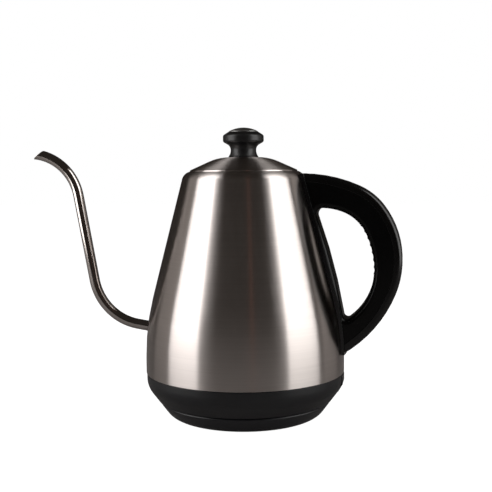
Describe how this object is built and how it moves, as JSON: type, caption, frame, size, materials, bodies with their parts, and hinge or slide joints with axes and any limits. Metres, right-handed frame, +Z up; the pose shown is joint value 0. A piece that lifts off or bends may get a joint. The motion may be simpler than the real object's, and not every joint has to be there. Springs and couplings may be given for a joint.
{
  "type": "electric gooseneck kettle",
  "caption": "Cone-shaped brushed-steel electric kettle with a thin gooseneck spout, black loop handle and lift-off lid, standing on a round power base.",
  "frame": {"origin": "on the vessel's axis, in the plane of the table that the foot ring rests on", "axes": "+Z up along the vessel's axis, +X toward the handle, -X toward the spout, +Y toward the cord inlet"},
  "size_m": [0.2915, 0.1552, 0.2249],
  "materials": {
    "base_plastic": "fine moulded texture",
    "skirt_plastic": "satin moulding",
    "handle_plastic": "satin moulding",
    "cover_plastic": "satin moulding",
    "spine_plastic": "gloss",
    "knob_plastic": "satin moulding",
    "control_plastic": "plain moulding",
    "switch_plastic": "gloss",
    "vessel_steel": "brushed round the axis",
    "lid_steel": "brushed round the axis",
    "spout_steel": "polished",
    "cap_steel": "spun satin",
    "fastener_steel": "plain",
    "plate_aluminium": "as cast",
    "element_steel": "heat-dulled",
    "contact_brass": "bright",
    "soft_rubber": "matt",
    "seal_silicone": "matt"
  },
  "bodies": {
    "power_base": {"base_housing": "base_plastic", "base_plate": "base_plastic", "foot_ring": "soft_rubber", "base_screws": "fastener_steel", "base_hub": "base_plastic", "hub_contacts": "contact_brass"},
    "kettle": {"base_skirt": "skirt_plastic", "bottom_cover": "skirt_plastic", "cover_screws": "fastener_steel", "controller": "control_plastic", "contact_rings": "contact_brass", "controller_screws": "fastener_steel", "heat_plate": "plate_aluminium", "heating_element": "element_steel", "switch_pin": "fastener_steel", "vessel_shell": "vessel_steel", "vessel_floor": "vessel_steel", "spout_tube": "spout_steel", "handle_spine": "spine_plastic", "upper_handle_stud": "fastener_steel", "lower_handle_stud": "fastener_steel", "handle_body": "handle_plastic", "handle_cover": "cover_plastic", "grip_insert": "soft_rubber", "handle_screws": "fastener_steel"},
    "lid": {"lid_cover": "lid_steel", "lid_ring": "lid_steel", "lid_seal": "seal_silicone", "knob": "knob_plastic", "knob_cap": "cap_steel", "knob_washer": "fastener_steel", "knob_screw": "fastener_steel"},
    "switch": {"switch_lever": "switch_plastic"}
  },
  "joints": [
    {"name": "kettle_lift", "type": "slide", "parent": "power_base", "child": "kettle", "axis": [0, 0, 1], "range_m": [0, 0.06]},
    {"name": "lid_lift", "type": "slide", "parent": "kettle", "child": "lid", "axis": [0, 0, 1], "range_m": [0, 0.08]},
    {"name": "switch_rock", "type": "hinge", "parent": "kettle", "child": "switch", "pos_m": [0.0686, 0, 0.0284], "axis": [0, 1, 0], "range_deg": [0, 12]}
  ]
}
